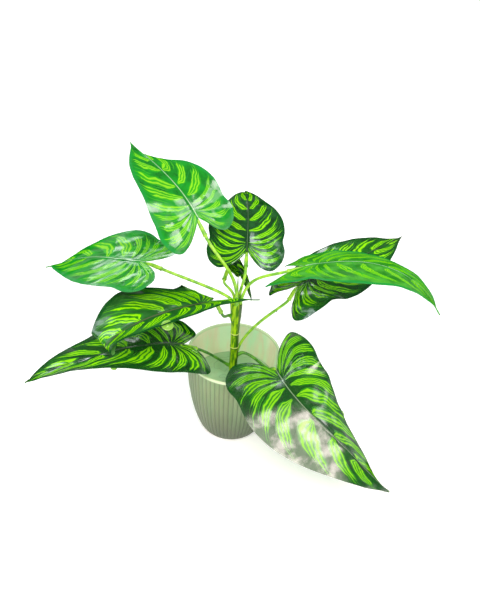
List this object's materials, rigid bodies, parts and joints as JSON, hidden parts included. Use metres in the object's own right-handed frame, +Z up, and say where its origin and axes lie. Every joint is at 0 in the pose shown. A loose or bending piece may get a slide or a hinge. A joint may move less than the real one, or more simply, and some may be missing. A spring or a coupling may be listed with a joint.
{
  "type": "potted alocasia zebrina",
  "caption": "Moulded house plant with arched, lobed and striped leaves on slender petioles from a jointed trunk, standing in a ribbed planter with a heavy filling.",
  "frame": {"origin": "centre of the planter's foot, on the surface that it stands on", "axes": "+Z up along the planter's axis, +X towards the long leaf on the right seen from the front, -Y towards the front, where the largest leaf hangs over the rim"},
  "size_m": [0.476, 0.365, 0.3608],
  "materials": {
    "planter": "satin sage green with faint marbling",
    "filling": "matt cast filling, pale grey green",
    "trunk": "moulded, lime to mid green with ring joints",
    "blade_bright": "glossy leaf green with lime feathered stripes",
    "blade_dark": "glossy dark green with lime feathered stripes",
    "rib": "translucent green moulding",
    "petiole": "smooth lime green"
  },
  "bodies": {
    "root": {"pot": "planter", "filling": "filling", "trunk": "trunk", "blade_a": "blade_bright", "blade_b": "blade_bright", "blade_c": "blade_dark", "blade_d": "blade_dark", "blade_e": "blade_dark", "blade_f": "blade_dark", "blade_g": "blade_bright", "blade_h": "blade_dark", "blade_i": "blade_dark", "rib_a": "rib", "rib_b": "rib", "rib_c": "rib", "rib_d": "rib", "rib_e": "rib", "rib_f": "rib", "rib_g": "rib", "rib_h": "rib", "rib_i": "rib", "petiole_a": "petiole", "petiole_b": "petiole", "petiole_c": "petiole", "petiole_d": "petiole", "petiole_e": "petiole", "petiole_f": "petiole", "petiole_g": "petiole", "petiole_h": "petiole", "petiole_i": "petiole"}
  },
  "joints": []
}
